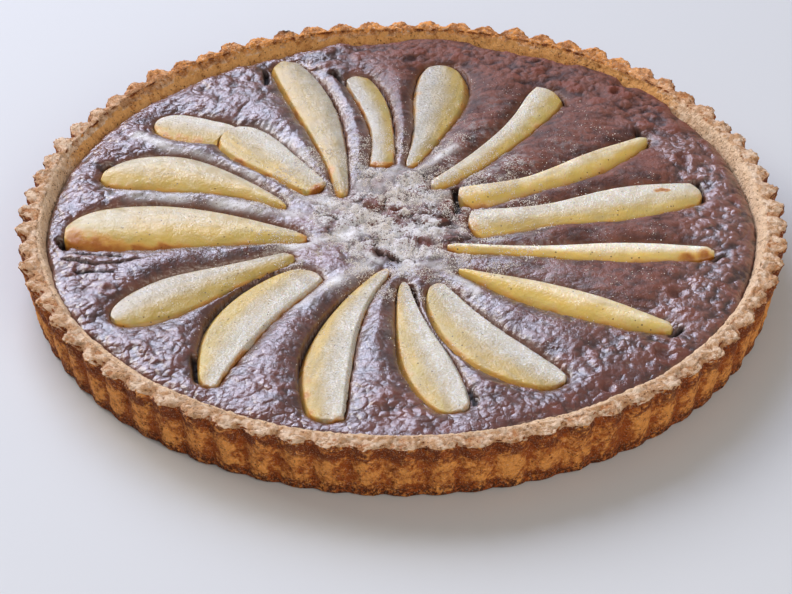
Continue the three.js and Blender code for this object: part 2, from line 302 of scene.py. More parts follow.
# %% Flutes and crumb of the case
def shape_case(mesh):
    plain = points_of(mesh)
    radius, height = np.hypot(plain[:, 0], plain[:, 1]), plain[:, 2]
    angle = np.arctan2(plain[:, 1], plain[:, 0])
    round_rim = np.column_stack([150 * np.cos(angle), 150 * np.sin(angle), 0 * angle])
    turn = angle + 0.0042 * lumps(round_rim, 21, 31)
    rib = (np.sqrt(np.cos(FLUTES * turn / 2) ** 2 + 0.012) - 0.11) / 0.896
    depth = np.interp(height, [0, BRIM_HEIGHT], [FOOT_FLUTE_DEPTH, FLUTE_DEPTH])
    inset = depth * (1 - rib) * (1 + 0.3 * lumps(round_rim, 30, 32))
    inside = (height > FLOOR_HEIGHT - 0.1) & (radius < LIP_RADIUS + 0.01)
    on_wall = (radius > 144.5) & (height < BRIM_HEIGHT + 0.01)
    drawn_in = np.where(on_wall, 1.0, np.interp(
        radius, [142.4, 146.6, 149, 150], [0, 0.45, 0.85, 1]))
    under = height < 0.01
    drawn_in[under] = np.interp(radius[under], [138, 145], [0, 1])
    drawn_in[inside] = 0

    up_wall = ramp(height, 0, BRIM_HEIGHT)
    rim = ramp(height, 21.0, 23.6) * ramp(radius, 140.5, 142.6)
    knee_share = np.clip((height - FLOOR_HEIGHT) / (KNEE_HEIGHT - FLOOR_HEIGHT), 0, 1)
    knee_shift = (knee_radius(angle) - KNEE_RADIUS) * knee_share
    knee_shift *= np.interp(height, [KNEE_HEIGHT, LIP_HEIGHT], [1, 0.15])
    knee_drop = (knee_height(angle) - KNEE_HEIGHT) * knee_share
    knee_drop *= np.interp(height, [KNEE_HEIGHT, LIP_HEIGHT], [1, 0])
    lip_shift = 0.6 * wander(angle, 1) * np.interp(radius, [142.4, 147], [1, 0])
    new_radius = radius - inset * drawn_in + np.where(inside, knee_shift, 0)
    new_radius += np.where(height > LIP_HEIGHT - 0.1, lip_shift, 0)

    # Each rib ends in a blunt tooth of its own height, with a groove on each side of it.
    tooth = np.round(FLUTES * turn / (2 * math.pi)).astype(int) % FLUTES
    tooth_random = np.array([noise.cell(Vector((t, 3.5, 0.5))) for t in range(FLUTES)])
    uneven = tooth_random[tooth]
    outer = ramp(radius, 144.6, 149.4)
    toothy = 0.60 + 0.7 * ramp(np.cos(angle - math.radians(160)), -0.3, 0.7)
    overhang = ramp(height, 21.9, 22.9) * ramp(radius, 146.0, 149.2)
    new_radius += overhang * (0.25 + 0.75 * rib) * (0.45 + 0.75 * uneven)
    new_height = height + rim * (0.45 * wander(angle, 3)
                                 + outer * rib * (0.25 + 0.55 * uneven) * toothy)
    new_height += np.where(inside, knee_drop, 0)
    # Away from the back the rim is broad and level, and only then falls to the filling.
    broad_rim = 1 - ramp(np.sin(angle) - 0.3 * (np.cos(angle) < 0) * np.cos(angle), 0.35, 0.8)
    fall_share = np.clip((height - KNEE_HEIGHT) / (LIP_HEIGHT - KNEE_HEIGHT), 0, 1)
    new_height += inside * broad_rim * 1.6 * np.sin(math.pi * fall_share)
    new_height += broad_rim * 0.9 * np.exp(-((radius - 142.3) / 1.3) ** 2) * (height > 20)
    new_height -= rim * outer * 1.35 * (1 - rib) ** 1.4 * toothy

    shaped = np.column_stack([new_radius * np.cos(angle), new_radius * np.sin(angle),
                              new_height])
    set_points(mesh, shaped)
    outward = normals_of(mesh)
    seen = (radius > KNEE_RADIUS - 3) & ((height > 12) | (radius > FOOT_RADIUS - 6))
    near = shaped[seen]
    top = rim[seen]
    dents = lumps(near, 11, 1)
    middle = lumps(near, 3.0, 2, 2)
    fine = lumps(near, 1.3, 3)
    nearest, second, draw = cells(near, 2.9, 4)
    plate_near, plate_second, plate_draw = cells(near * [1, 1, 1.6], 5.0, 5)
    pits = np.zeros(len(shaped))
    pits[seen] = np.where(draw > 0.66, ramp(0.30 - nearest, 0, 0.2), 0)
    crack = np.zeros(len(shaped))
    crack[seen] = ramp(0.10 - (plate_second - plate_near), 0, 0.10) * (0.25 + 0.75 * top)
    crumb = np.zeros(len(shaped))
    ragged = top * ramp(np.hypot(near[:, 0], near[:, 1]), 146.5, 148.8)
    crumb[seen] = 0.30 * dents + (0.38 - 0.16 * top) * middle + 0.30 * fine
    crumb[seen] += top * 0.55 * (plate_draw - 0.5) + ragged * (0.25 * middle + 0.45 * fine)
    push = crumb - 0.9 * pits - 0.45 * crack
    push *= ramp(height, -0.5, 1.5)
    shaped = shaped + outward * push[:, None]
    shaped[:, 2] = np.clip(shaped[:, 2], 0, HIGHEST_TOOTH)
    set_points(mesh, shaped)
    level = lumps(near, 5.0, 33, 2)
    faces_up = np.zeros(len(shaped))
    faces_up[seen] = ramp(normals_of(mesh)[seen, 2] + 0.15 * level, 0.42, 0.8)
    faces_up *= ramp(height, 21.2, 23.0)
    note(mesh, "top_face", np.maximum(faces_up, inside * broad_rim * ramp(height, 17, 19)))
    # level: the inner slope away from the back, which the finish paints lighter as painted
    # light.
    note(mesh, "level", inside * broad_rim)
    note(mesh, "rim", rim)
    # valley: how deep in a flute a point lies, more at the left and right sides; the finish
    # browns it, partly as painted shade.
    note(mesh, "valley", (1 - rib) * drawn_in * (0.35 + 0.65 * np.abs(np.cos(angle))))
    # pit: pits and cracks, which the finish darkens as painted shade.
    note(mesh, "pit", np.clip(pits + 0.8 * crack, 0, 1))
    note(mesh, "crumb", np.clip(0.5 + crumb, 0, 1))
    note(mesh, "inner_wall", inside * 1.0)
    note(mesh, "up_wall", up_wall)
    note(mesh, "burnt", patch(shaped, -50, 141, 3.4) * rim)
    # The rim's top is browner towards the back of the tart.
    note(mesh, "browner_at_back", ramp(np.sin(angle), 0.35, 0.85) * rim)


shape_case(case_mesh)
pastry_case = new_piece("pastry_case", case_mesh, "crust", "crust")

# %% [markdown]
# ## The pear slices
# Each slice is a long wedge of peeled, cooked pear. Its solid already has the right outline,
# top and belly, but flat faces. A copy with its doubles merged is swollen a hair, because the
# smoothing draws a shape in, and finished with Subdivision Surface. Then a knife's facets and
# the grain of the flesh go on to the smooth mesh.

# %% What each slice looks like
PEARS = sorted(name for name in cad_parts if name.startswith("pear_slice"))
# One row a slice, in the order of their numbers. golden: 0 white cut flesh, 1 the yellow
# outer flesh. grain: how gritty. brown: stained edges. light: how bright it looks next to the
# others, partly its own tone and partly painted light and shade for how the lamps fall on it.
LOOK_OF_SLICE = [
    (0.85, 0.15, 1.0, 0.84), (0.75, 0.2, 0.6, 0.82), (0.3, 0.6, 0.7, 0.84),
    (0.3, 0.8, 1.0, 0.82), (0.60, 0.3, 0.9, 0.64), (0.35, 0.5, 1.0, 0.68),
    (0.3, 0.7, 0.6, 0.66), (0.4, 0.6, 0.5, 0.92), (0.8, 0.3, 0.5, 1.02),
    (0.2, 0.4, 0.6, 0.93), (0.35, 0.3, 0.7, 1.15), (0.9, 0.2, 0.8, 1.0),
    (0.12, 1.0, 0.5, 0.84), (0.15, 1.0, 0.5, 0.86), (0.25, 1.0, 0.6, 0.86),
    (0.25, 1.0, 0.7, 0.88), (0.6, 0.2, 0.6, 0.68),
]
# Places where the knife or the oven left a dark brown mark: x, y and reach in millimetres.
BURNS = [(109, -31.5, 3.0), (117, -30, 3.0), (102, 13.6, 1.0), (104, 14.3, 1.0),
         (106, 14.0, 1.0), (-128, -19, 6.5), (-120, -21.5, 6.0), (-111, -22, 4.5),
         (-102, -22.5, 3.5), (-93, -22, 2.5), (118, -72, 2.0), (-30, 17, 3.0),
         (-31, 31, 3.5), (-2, 29, 3.0), (62, 37, 2.0), (34, 5, 2.5), (44, -60, 2.0)]
SWELL = 0.35
BANDS = 24


def smooth_copy(name):
    """A copy of the slice's solid as an even, rounded mesh."""
    flesh = bmesh.new()
    flesh.from_mesh(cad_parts[name].data)
    bmesh.ops.remove_doubles(flesh, verts=flesh.verts, dist=1e-6)
    bmesh.ops.join_triangles(flesh, faces=flesh.faces,
                             angle_face_threshold=math.radians(30),
                             angle_shape_threshold=math.radians(60))
    flesh.normal_update()
    for vertex, push in [(v, v.normal * SWELL * MM) for v in flesh.verts]:
        vertex.co += push
    crease = flesh.edges.layers.float.new("crease_edge")
    for edge in flesh.edges:
        if len(edge.link_faces) == 2 and edge.calc_face_angle() > math.radians(34):
            edge[crease] = 0.62
    mesh = bpy.data.meshes.new(name + "_flesh")
    flesh.to_mesh(mesh)
    flesh.free()
    rough = bpy.data.objects.new("rough", mesh)
    bpy.context.scene.collection.objects.link(rough)
    smoother = rough.modifiers.new("smooth", "SUBSURF")
    smoother.levels = smoother.render_levels = 3
    seen = rough.evaluated_get(bpy.context.evaluated_depsgraph_get())
    smooth = bpy.data.meshes.new_from_object(seen)
    smooth.name = name + "_flesh"
    bpy.data.objects.remove(rough)
    return smooth


# %% Facets, grain and stains of a slice
def shape_slice(mesh, order):
    golden, grain, brown, light = LOOK_OF_SLICE[order]
    points, outward = points_of(mesh), normals_of(mesh)
    middle = points.mean(0)
    spread = np.linalg.svd((points - middle)[::7, :2], full_matrices=False)[2]
    along = (points - middle)[:, :2] @ spread[0]
    across = (points - middle)[:, :2] @ spread[1]
    if np.dot(spread[0], middle[:2]) < 0:
        along = -along
    length = along.max() - along.min()
    out = (along - along.min()) / length
    facing_up = outward[:, 2]
    top = facing_up > 0.8
    # The upper face falls towards the belly, so its slope tells the two long sides apart.
    fall = np.linalg.lstsq(np.column_stack([along[top], across[top], np.ones(top.sum())]),
                           points[top, 2], rcond=None)[0][1]
    if fall > 0:
        across = -across
    # How far across the slice each point lies, -1 at the cored edge and 1 at the belly.
    bands = np.clip((out * BANDS).astype(int), 0, BANDS - 1)
    low_side = np.array([across[bands == b].min() for b in range(BANDS)])
    high_side = np.array([across[bands == b].max() for b in range(BANDS)])
    place = np.clip(out * BANDS - 0.5, 0, BANDS - 1)
    low_side = np.interp(place, range(BANDS), low_side)
    high_side = np.interp(place, range(BANDS), high_side)
    side = 2 * (across - low_side) / np.maximum(high_side - low_side, 2) - 1

    flank = 1 - ramp(facing_up, 0.72, 0.95)
    stretched = np.column_stack([along * 0.12, across, points[:, 2] * 1.4])
    facets = lumps(stretched, 7.5, 30 + order)
    ripple = lumps(points, 5.0, 50 + order, 2)
    grit = lumps(points, 1.6, 70 + order)
    nicks = lumps(points, 3.2, 20 + order)
    push = 0.16 * facets + 0.07 * ripple + 0.02 * grit * (0.3 + grain)
    push -= 0.35 * ramp(nicks, 0.25, 0.5) * ramp(np.abs(side), 0.8, 1.0)
    set_points(mesh, points + outward * (push - 0.02)[:, None])
    burn = sum(patch(points, *row) for row in BURNS)
    blotch = lumps(points, 5.0, 90 + order, 2)
    low = 1 - ramp(points[:, 2] - 0.8 * blotch, 20.0, 22.0)
    note(mesh, "amber", np.clip(1 - ramp(points[:, 2] - 1.6 * blotch, 20.3, 22.6), 0, 1)
         * (1 - ramp(facing_up, 0.85, 0.97)))
    streak = lumps(np.column_stack([along * 0.06, across * 0.5, 0 * along]), 1.0, 40 + order, 2)
    inner_tip = 1 - ramp(out, 0.0, 0.07)
    outer_tip = ramp(out, 0.93, 1.0)
    belly = ramp(side + 0.15 * streak, -0.1, 0.95)
    note(mesh, "golden", np.clip(golden * (0.55 + 0.45 * ramp(side, -0.7, 0.5))
                                 + 0.85 * belly * (1 - 0.5 * golden)
                                 + 0.15 * blotch + 0.22 * streak, 0, 1))
    note(mesh, "belly", belly)
    # pale: the cut side, partly its paler flesh and partly a painted sheen of the wet face.
    note(mesh, "pale", np.clip((1 - ramp(side, -0.6, 0.45)) * (1.15 - 0.8 * golden)
                               + 0.3 * blotch, 0, 1))
    note(mesh, "grain", np.clip(grain * (1 - 0.7 * belly) + 0.2 * blotch, 0, 1))
    edge = ramp(np.abs(side), 0.9, 1.0)
    note(mesh, "stain", np.clip(brown * (0.85 * low + 0.75 * inner_tip + 0.4 * outer_tip
                                         + 0.75 * edge) * (0.7 + 1.1 * blotch)
                                + burn * (1.3 + 1.0 * blotch) - 0.06, 0, 1))
    # light: the slice's brightness, partly painted light and shade.
    note(mesh, "light", np.full(len(points), light) * (1 - 0.06 * belly)
         + 0.08 * blotch + 0.09 * streak)
    note(mesh, "sugar", np.clip(np.exp(-(np.hypot(points[:, 0], points[:, 1]) / 48) ** 3)
                                * 0.7 * ramp(facing_up, 0.3, 0.9) * (1.1 - 0.7 * belly),
                                0, 1))
    return mesh


slices = []
for order, name in enumerate(PEARS):
    flesh_mesh = shape_slice(smooth_copy(name), order)
    slices.append(new_piece(name + "_flesh", flesh_mesh, "pear", name))
print("slices made:", len(slices))

# %% [markdown]
# ## The filling
# The filling is a chocolate batter that puffed up in the oven round the fruit and sank a
# little as it cooled. It stands highest between the slices, dips steeply where it meets them,
# and rolls down to the wall. A round grid drawn from a square one has cells of nearly the same
# size all over, so lumps and blisters are as crisp in the middle as at the edge. The dip
# beside the fruit needs the distance to the nearest slice, which a search tree gives.

# %% Distances to the fruit
GRID_STEPS = 308


def fruit_tree():
    """One search tree over all slices."""
    corners, faces = [], []
    for piece in slices:
        start = len(corners)
        corners += [Vector(point) for point in points_of(piece.data)]
        faces += [[start + i for i in face.vertices] for face in piece.data.polygons]
    return BVHTree.FromPolygons(corners, faces)


fruit = fruit_tree()
print("fruit ready for", len(slices), "slices")

# %% A round sheet of even cells
UNDERSIDE = FLOOR_HEIGHT + GAP


def square_to_round(mesh):
    """Where the points of a square sheet go on a disc, ring by ring: how far out each one
    lies, from 0 to 1, and in which direction."""
    flat = points_of(mesh) * MM
    u, v = flat[:, 0], flat[:, 1]
    out = np.maximum(np.abs(u), np.abs(v))
    safe_u = np.where(np.abs(u) < 1e-9, 1e-9, u)
    safe_v = np.where(np.abs(v) < 1e-9, 1e-9, v)
    wide = np.abs(u) >= np.abs(v)
    turn = np.where(wide, math.pi / 4 * v / safe_u + np.where(u < 0, math.pi, 0),
                    math.pi / 2 - math.pi / 4 * u / safe_v + np.where(v < 0, math.pi, 0))
    return out, turn


def flat_sheet():
    sheet = bmesh.new()
    bmesh.ops.create_grid(sheet, x_segments=GRID_STEPS, y_segments=GRID_STEPS, size=1)
    mesh = bpy.data.meshes.new("chocolate_filling")
    sheet.to_mesh(mesh)
    sheet.free()
    return mesh


filling_mesh = flat_sheet()
print("sheet points:", len(filling_mesh.vertices))

# %% [markdown]
# The sheet's heights come in layers: the broad crown, the roll at the wall, the trough beside
# the fruit, then lumps, blisters and cracks. A few marks are particular to this tart, such as
# a burst bubble or a deep gap at a slice's end, and they are listed one by one.

# %% The marks on this filling
# Each row is x, y, radius and depth in millimetres.
HOLES = [
    (91, 89, 2.6, 1.8), (115, 37, 3.0, 1.2), (103, -56, 3.4, 1.0), (95, -93, 4.0, 1.1),
    (73, -112, 2.6, 0.8), (-2, 2, 2.2, 2.0), (-96, 66, 2.2, 0.9), (-111, -52, 2.0, 0.7),
]
# Each row is the two ends of a gap, its half width and its depth.
GAPS = [
    (-133, -16, -130, -22, 1.6, 6.0), (-118, 36, -120, 33, 1.6, 5.0),
    (-130, -30, -118, -36, 1.1, 2.0), (-118, -36, -100, -33, 0.8, 1.5),
    (-126, -27, -108, -30, 0.9, 1.4), (-124, -40, -110, -41, 0.7, 1.0),
    (-58, 111, -57, 97, 1.3, 4.0), (-29, 108, -24, 99, 1.3, 4.0),
    (64, 92, 70, 80, 1.2, 3.5), (98, 58, 101, 47, 1.3, 3.5), (118, 21, 120, 8, 1.4, 3.5),
    (24, -113, 26, -121, 1.0, 2.4), (3, -49, 5, -60, 1.6, 3.5), (22, 2, 22, 18, 1.8, 3.0),
    (-76, -92, -74, -106, 1.2, 3.0), (-72, 68, -70, 60, 1.4, 2.5),
    (-10, -25, 0, -32, 0.9, 2.2), (-30, -2, -25, -5, 0.9, 2.2), (10, 27, 3, 31, 0.9, 1.6),
    (120, -33, 123, -30, 1.4, 2.4), (99, -81, 103, -77, 1.4, 2.4),
]
# Directions in degrees between which the filling has crept up the wall, and how far.
CREEPS = [(35, 45, 2.0), (47, 58, 2.4), (76, 90, 2.6), (100, 105, 1.6), (196, 214, 1.6),
          (262, 284, 2.2), (318, 336, 1.4)]
PUFF = [(0, 22.6), (30, 22.4), (44, 23.6), (60, 25.0), (98, 25.2), (114, 24.1), (126, 23.5),
        (140, 23.2)]
ROLL_START = 126
BESIDE_FRUIT, PILLOW_REACH = 19.8, 12.0
HIGHEST = 25.5
# Smooth white drifts, partly powder that slid together and partly a painted sheen on the crests:
# the two ends of each drift and its half width.
SUGAR_AND_SHEEN_DRIFTS = [
    (-108, 13, -42, -1, 4.2), (-38, 12, -20, 5, 4.4), (-45, -24, -14, -11, 3.6),
    (-22, -21, -9, -31, 1.8), (-40, -62, -14, -36, 3.6), (-108, 56, -60, 26, 2.8),
    (18, -40, 28, -56, 1.9), (6, 30, 22, 46, 2.2), (-8, 20, -2, 34, 5.0),
    (-58, 62, -38, 36, 3.0), (2, -36, 16, -37, 2.8), (4, 8, 18, 14, 3.6),
    (-26, 18, -10, 24, 4.0), (6, -14, 22, -10, 3.0),
]
# Hollows with bare brown chocolate: x, y and reach.
BARE = [(-41, -4, 5), (-31, -31, 7), (-38, -26, 5), (-8, -27, 3.5), (-12, 6, 4),
        (10, -20, 5), (-3, 2, 3), (-26, 2, 3), (18, 8, 4)]
print("marks:", len(HOLES), "holes,", len(GAPS), "gaps,", len(CREEPS), "creeps")


# %% Heights of the filling
def creep_at(angle):
    """How far the filling's edge has crept up the wall."""
    degrees = np.degrees(angle) % 360
    rise = np.zeros(len(angle))
    for start, end, height in CREEPS:
        rise += height * ramp(degrees, start - 1.5, start + 2) * (
            1 - ramp(degrees, end - 2, end + 1.5))
    return rise


def gap_distance(points, row):
    """Distance from each point to the line between a gap's two ends."""
    start, end = np.array(row[:2]), np.array(row[2:4])
    run = end - start
    share = np.clip((points[:, :2] - start) @ run / (run @ run), 0, 1)
    return np.linalg.norm(points[:, :2] - start - share[:, None] * run, axis=1)


def shape_filling(mesh):
    out, angle = square_to_round(mesh)
    creep = creep_at(angle)
    edge_radius = knee_radius(angle) - 0.1 + 0.79 * creep
    edge_height = knee_height(angle) + creep + 0.5 * lumps(
        np.column_stack([140 * np.cos(angle), 140 * np.sin(angle), 0 * angle]), 6, 21)
    radius = out * edge_radius
    place = np.column_stack([radius * np.cos(angle), radius * np.sin(angle),
                             np.zeros(len(out))])

    near = np.array([fruit.find_nearest(Vector((x, y, 19.8)), 30)[3] or 30
                     for x, y, _ in place])
    from_above = [fruit.ray_cast(Vector((x, y, 60)), Vector((0, 0, -1)))[0]
                  for x, y, _ in place]
    under = np.array([hit is not None for hit in from_above])
    fruit_top = np.array([99 if hit is None else hit.z for hit in from_above])
    near[under] = 0
    # Beside a slice the batter bulges out like a pillow: steep at the fruit, then level.
    pillow = np.clip(near / PILLOW_REACH, 0, 1)
    open_top = np.sqrt(1 - (1 - pillow) ** 2)

    crown = np.interp(radius, *zip(*PUFF))
    crown += 0.4 * (np.sin(place[:, 0] / 3.18) * np.sin(place[:, 1] / 3.66)
                    + np.sin((place[:, 0] - place[:, 1]) / 5.25)) * open_top
    crown += 0.6 * lumps(place, 16, 5) * open_top
    share = np.clip((radius - ROLL_START) / (edge_radius - ROLL_START), 0, 1)
    roll = np.sqrt(1 - share ** 2)
    height = edge_height + (crown - edge_height) * roll

    in_ring = ramp(radius, 104, 120)
    in_middle = 1 - ramp(radius, 26, 44)
    between_slices = np.clip(1 - in_ring - in_middle, 0, 1)
    right = ramp(place[:, 0] * 0.9 + place[:, 1] * 0.45, -20, 75)
    front = ramp(-place[:, 1], 66, 112)
    calm = 1 - 0.8 * ramp(-place[:, 1], 95, 125) * ramp(radius, 123, 130)

    wrinkle = lumps(place, 8.0, 6, 2)
    along_rays = np.column_stack([radius / 9, angle * radius.clip(30) / 3.2, 0 * angle])
    ray_fold = lumps(along_rays, 1.0, 14, 2)
    ring_fold = lumps(np.column_stack([radius / 2.8, angle * 130 / 8, 0 * angle]), 1.0, 18, 2)
    left = 1 - ramp(place[:, 0] * 0.8 + place[:, 1] * 0.6, -30, 40)
    pebble_near, _, pebble_draw = cells(place + 1.2 * np.column_stack(
        [wrinkle, wrinkle, 0 * wrinkle]), 3.9, 7)
    pebble = 1 - (pebble_near / (0.55 + 0.2 * pebble_draw)) ** 2
    pebble = np.clip(pebble, -0.5, 1)
    blister_near, _, blister_draw = cells(place, 8.0, 8)
    blister_size = 0.24 + 0.26 * blister_draw
    blister = np.sqrt(np.clip(1 - (blister_near / blister_size) ** 2, 0, 1))
    blister *= (blister_draw > 0.3) * (0.4 + 0.6 * blister_draw)
    scale_near = cells(place, 2.3, 9)[0]
    scaly = 1 - (scale_near / 0.6) ** 2
    bend = 3.5 * np.column_stack([wrinkle, -wrinkle, 0 * wrinkle])
    crag_near, crag_second, crag_draw = cells(place + bend, 9, 10)
    crag_line = ramp(0.11 - (crag_second - crag_near), 0, 0.11)
    crag = 1.3 * (crag_draw - 0.5) + 0.9 * lumps(place, 3.0, 11, 2)

    detail = wrinkle * (0.3 * in_ring + 0.25 * between_slices + 0.7 * in_middle)
    detail += ray_fold * 0.38 * between_slices + ring_fold * 0.4 * in_ring * calm
    pebbly = 0.35 + 0.65 * ramp(lumps(place, 24, 17), -0.3, 0.4)
    detail += (pebble - 0.4) * pebbly * ((0.8 - 0.35 * left) * in_ring * calm
                                         + 0.3 * between_slices)
    detail += blister * (0.9 * in_ring * calm + 0.3 * between_slices)
    detail += scaly * (0.05 + 0.12 * in_ring + 0.08 * in_middle)
    detail += in_middle * (1.0 * crag - 1.5 * crag_line)
    beside = BESIDE_FRUIT + 0.9 * lumps(place, 12, 12) + 0.9 * lumps(place, 4, 19)
    height = np.where(height > beside, beside + (height - beside) * open_top, height)
    height += detail * (0.3 + 0.7 * roll) * (0.15 + 0.85 * open_top) * (out < 0.9999)

    # dark: painted shade for the holes and gaps; burst: where a burst bubble's rim is reddish.
    dark, burst = np.zeros(len(out)), np.zeros(len(out))
    for x, y, size, depth in HOLES:
        away = np.hypot(place[:, 0] - x, place[:, 1] - y) / size
        away *= 1 + 0.3 * wrinkle
        height += -depth * ramp(1.15 - away, 0, 0.7) + 0.5 * np.exp(-((away - 1.35) / 0.3) ** 2)
        dark = np.maximum(dark, 0.45 * ramp(1.1 - away, 0, 0.6))
        burst = np.maximum(burst, ramp(1.7 - away, 0, 0.5))
    for row in GAPS:
        away = gap_distance(place, row) / row[4] * (1 + 0.35 * wrinkle)
        height -= row[5] * ramp(1.3 - away, 0, 0.9)
        dark = np.maximum(dark, ramp(1.35 - away, 0, 0.8))
    height = np.where(under, np.minimum(height, fruit_top - 2.2), height)
    over = np.maximum(height - HIGHEST + 1.2, 0)
    height = np.where(over > 0, HIGHEST - 1.2 * np.exp(-over / 1.2), height)
    height = np.where(out > 0.9999, edge_height, height)
    set_points(mesh, np.column_stack([place[:, :2], height]))

    drifts = lumps(place, 12, 13, 2)
    bare = np.clip(sum(patch(place, *row) for row in BARE), 0, 1)
    sugar = 1.0 * np.exp(-(radius / 42) ** 3) + 0.42 * np.exp(-(radius / 84) ** 3)
    sugar *= (0.5 + 0.5 * ramp(detail, -0.3, 0.7) + 1.0 * drifts) * (1 - 0.9 * bare)
    # The drifts are partly icing sugar and partly a painted sheen along the crests.
    drift = np.zeros(len(out))
    for row in SUGAR_AND_SHEEN_DRIFTS:
        away = gap_distance(place, row) / row[4] * (1 + 0.5 * wrinkle)
        drift = np.maximum(drift, np.exp(-away ** 2) * (0.75 + 0.7 * drifts))
    drift *= ramp(open_top, 0.3, 0.75)
    syrup = np.exp(-(near / 2.0) ** 2) * (1 - under)
    note(mesh, "ring", in_ring)
    note(mesh, "sugar", np.clip(sugar - dark, 0, 1) * (0.3 + 0.7 * open_top))
    note(mesh, "drift", np.clip(drift - dark, 0, 1))
    note(mesh, "gloss", np.clip(1.05 - right * (1.05 - 0.8 * in_ring * (1 - ramp(
        place[:, 1], 20, 90))) + 0.75 * front + 0.35 * syrup - 0.6 * in_middle, 0, 1)
        * (1 - 0.9 * dark))
    # Paler, milkier brown towards the right and back: partly the skin's own bloom and partly
    # painted light.
    note(mesh, "milky_and_lit", np.clip(right * (1 - 0.6 * front), 0, 1))
    note(mesh, "warm", np.clip(in_ring * (blister > 0.3) * (blister_draw > 0.5)
                               * ramp(place[:, 0], -90, 30) * 0.8
                               + 0.7 * in_middle * ramp(-crag, 0.1, 0.8) + 0.7 * bare
                               + 0.9 * burst
                               + 0.9 * patch(place, 97, 41, 7), 0, 1))
    note(mesh, "syrup", syrup)
    # Painted shade: the holes, the gaps and the dips beside the fruit are darkened.
    note(mesh, "dark", np.clip(dark + 0.35 * ramp(1 - open_top, 0.5, 0.95), 0, 1))
    # ridge: how high a point stands among the lumps; the finish paints its low places darker as
    # shade.
    note(mesh, "ridge", np.clip(0.5 + 0.4 * detail - 0.3 * (1 - open_top), 0, 1))


shape_filling(filling_mesh)
print("filling height mm:", points_of(filling_mesh)[:, 2].min().round(1),
      points_of(filling_mesh)[:, 2].max().round(1))


# %% Close the filling below
def close_below(mesh):
    """The sheet's edge goes down and inwards to the case's floor, and a flat face closes it."""
    body = bmesh.new()
    body.from_mesh(mesh)
    rim_edges = [edge for edge in body.edges if edge.is_boundary]
    drawn = bmesh.ops.extrude_edge_only(body, edges=rim_edges)["geom"]
    low = [part for part in drawn if isinstance(part, bmesh.types.BMVert)]
    for vertex in low:
        flat = Vector((vertex.co.x, vertex.co.y, 0)).normalized() * (FLOOR_RADIUS - GAP) * MM
        vertex.co = (flat.x, flat.y, UNDERSIDE * MM)
    bmesh.ops.contextual_create(body, geom=low)
    bmesh.ops.recalc_face_normals(body, faces=body.faces)
    body.to_mesh(mesh)
    body.free()


close_below(filling_mesh)
chocolate_filling = new_piece("chocolate_filling", filling_mesh, "filling", "filling")

# %% [markdown]
# ## Building a material
# A material is a small graph of nodes. These helpers add a node, set its sockets and join it
# up in one line, so that each finish below reads as a list of what the eye sees on the food.


# %% Helpers for materials
def add(tree, kind, sockets=None, **settings):
    """Adds a shader node. A socket is given a value, or the output that feeds it."""
    node = tree.nodes.new("ShaderNode" + kind)
    for key, value in settings.items():
        setattr(node, key, value)
    for key, value in (sockets or {}).items():
        if isinstance(value, bpy.types.NodeSocket):
            tree.links.new(value, node.inputs[key])
        else:
            node.inputs[key].default_value = value
    return node


def start_finish(name):
    """A new material, its tree, its shader and the place on the piece that patterns read."""
    finish = bpy.data.materials.new(name)
    finish.use_nodes = True
    tree = finish.node_tree
    shader = tree.nodes["Principled BSDF"]
    place = add(tree, "TexCoord").outputs["Object"]
    return finish, tree, shader, place


def mottle(tree, place, size, detail=3, distortion=0.0, roughness=0.55):
    """Soft random pattern between 0 and 1, with patches of the given size in millimetres."""
    return add(tree, "TexNoise", {
        "Vector": place, "Scale": 1 / (size * MM), "Detail": detail,
        "Roughness": roughness, "Distortion": distortion}).outputs["Fac"]


def speckle(tree, place, size, feature="F1"):
    """Distance to the nearest of a scatter of dots."""
    return add(tree, "TexVoronoi", {"Vector": place, "Scale": 1 / (size * MM)},
               feature=feature).outputs["Distance"]


def wavy(tree, place, size, reach):
    """The same place moved aside by up to about reach millimetres, in waves of that size."""
    drift = add(tree, "TexNoise", {"Vector": place, "Scale": 1 / (size * MM),
                                   "Detail": 1.0}).outputs["Color"]
    drift = add(tree, "VectorMath", {0: drift, 1: (0.5, 0.5, 0.5)},
                operation="SUBTRACT").outputs[0]
    drift = add(tree, "VectorMath", {0: drift, 1: (2 * reach * MM,) * 3},
                operation="MULTIPLY").outputs[0]
    return add(tree, "VectorMath", {0: place, 1: drift}, operation="ADD").outputs[0]


def number(tree, operation, *values):
    """One sum on one, two or three numbers."""
    return add(tree, "Math", dict(enumerate(values)), operation=operation).outputs[0]


def times(tree, first, second):
    return number(tree, "MULTIPLY", first, second)


def plus(tree, first, second):
    return number(tree, "ADD", first, second)


def minus(tree, first, second):
    return number(tree, "SUBTRACT", first, second)


def line(tree, value, slope, start):
    """A straight line: slope times the value, plus start."""
    return number(tree, "MULTIPLY_ADD", value, slope, start)


def between(tree, value, low, high):
    """0 below low, 1 above high."""
    return add(tree, "MapRange", {"Value": value, "From Min": low, "From Max": high},
               interpolation_type="SMOOTHSTEP").outputs["Result"]


def blend_colour(tree, share, first, second, how="MIX"):
    """first where share is 0, second where it is 1."""
    node = add(tree, "Mix", data_type="RGBA", blend_type=how)
    for socket, value in ((0, share), (6, first), (7, second)):
        if isinstance(value, bpy.types.NodeSocket):
            tree.links.new(value, node.inputs[socket])
        elif socket == 0:
            node.inputs[0].default_value = value
        else:
            node.inputs[socket].default_value = (*value, 1)
    return node.outputs[2]


def noted(tree, name):
    """The number that the mesh carries under that name."""
    return add(tree, "Attribute", attribute_name=name).outputs["Fac"]


def relief(tree, shader, height, depth, strength=1.0):
    """Fine relief that is too small for the mesh, depth in millimetres."""
    bump = add(tree, "Bump", {"Height": height, "Distance": depth * MM,
                              "Strength": strength})
    tree.links.new(bump.outputs["Normal"], shader.inputs["Normal"])


print("material helpers ready")

